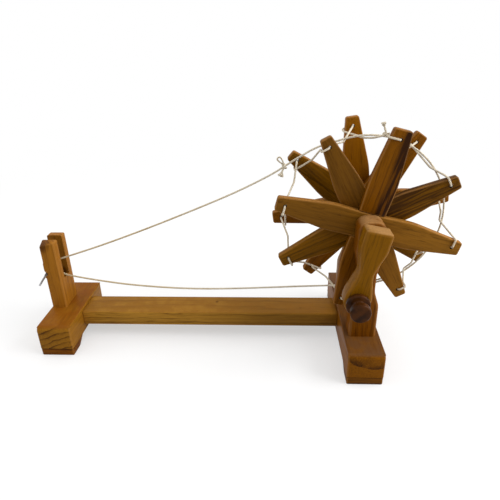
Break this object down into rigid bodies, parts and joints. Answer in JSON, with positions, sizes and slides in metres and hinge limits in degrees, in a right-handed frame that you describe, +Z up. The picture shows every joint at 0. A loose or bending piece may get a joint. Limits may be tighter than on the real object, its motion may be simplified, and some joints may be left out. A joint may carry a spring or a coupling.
{
  "type": "table charkha",
  "caption": "Varnished wooden table spinning wheel: a crank turns a corded wheel of crossing planks, whose cotton band spins a wire spindle in a forked post",
  "frame": {"origin": "middle of the outline on the bench, at the height of the pads' undersides", "axes": "+X along the beam from the spindle to the wheel, +Y from the crank side to the back, +Z up"},
  "size_m": [0.2906, 0.1186, 0.1605],
  "materials": {
    "teak": "clear varnish, satin",
    "pale_teak": "clear varnish, satin",
    "dark_teak": "clear varnish, satin",
    "knob_wood": "dark stain, gloss varnish",
    "steel": "plain drawn wire",
    "cotton": "undyed twisted cotton"
  },
  "bodies": {
    "base": {"spindle_foot": "teak", "spindle_foot_front_pad": "dark_teak", "spindle_foot_rear_pad": "dark_teak", "wheel_foot": "teak", "wheel_foot_front_pad": "dark_teak", "wheel_foot_rear_pad": "dark_teak", "beam": "pale_teak", "spindle_fork": "teak", "front_post": "teak", "rear_post": "dark_teak", "drive_band": "cotton"},
    "wheel": {"front_plank_1": "teak", "front_plank_2": "pale_teak", "front_plank_3": "dark_teak", "front_plank_4": "teak", "rear_plank_1": "teak", "rear_plank_2": "dark_teak", "rear_plank_3": "pale_teak", "rear_plank_4": "teak", "axle": "pale_teak", "hub_drum": "dark_teak", "front_collar": "pale_teak", "rear_collar": "pale_teak", "crank_washer": "pale_teak", "crank_arm": "teak", "lacing_cord": "cotton"},
    "knob": {"crank_knob": "knob_wood", "knob_screw": "steel"},
    "spindle": {"spindle": "steel"}
  },
  "joints": [
    {"name": "wheel_spin", "type": "hinge", "parent": "base", "child": "wheel", "pos_m": [0.08314, 0.00332, 0.0976], "axis": [0, 1, 0], "continuous": true},
    {"name": "spindle_spin", "type": "hinge", "parent": "base", "child": "spindle", "pos_m": [-0.14286, 0.01112, 0.055], "axis": [0, 0.9781, 0.2079], "continuous": true},
    {"name": "knob_spin", "type": "hinge", "parent": "wheel", "child": "knob", "pos_m": [0.07503, -0.04593, 0.05843], "axis": [0, 1, 0], "continuous": true}
  ],
  "couplings": [
    {"joint": "spindle_spin", "follows": "wheel_spin", "ratio": 29.83}
  ]
}
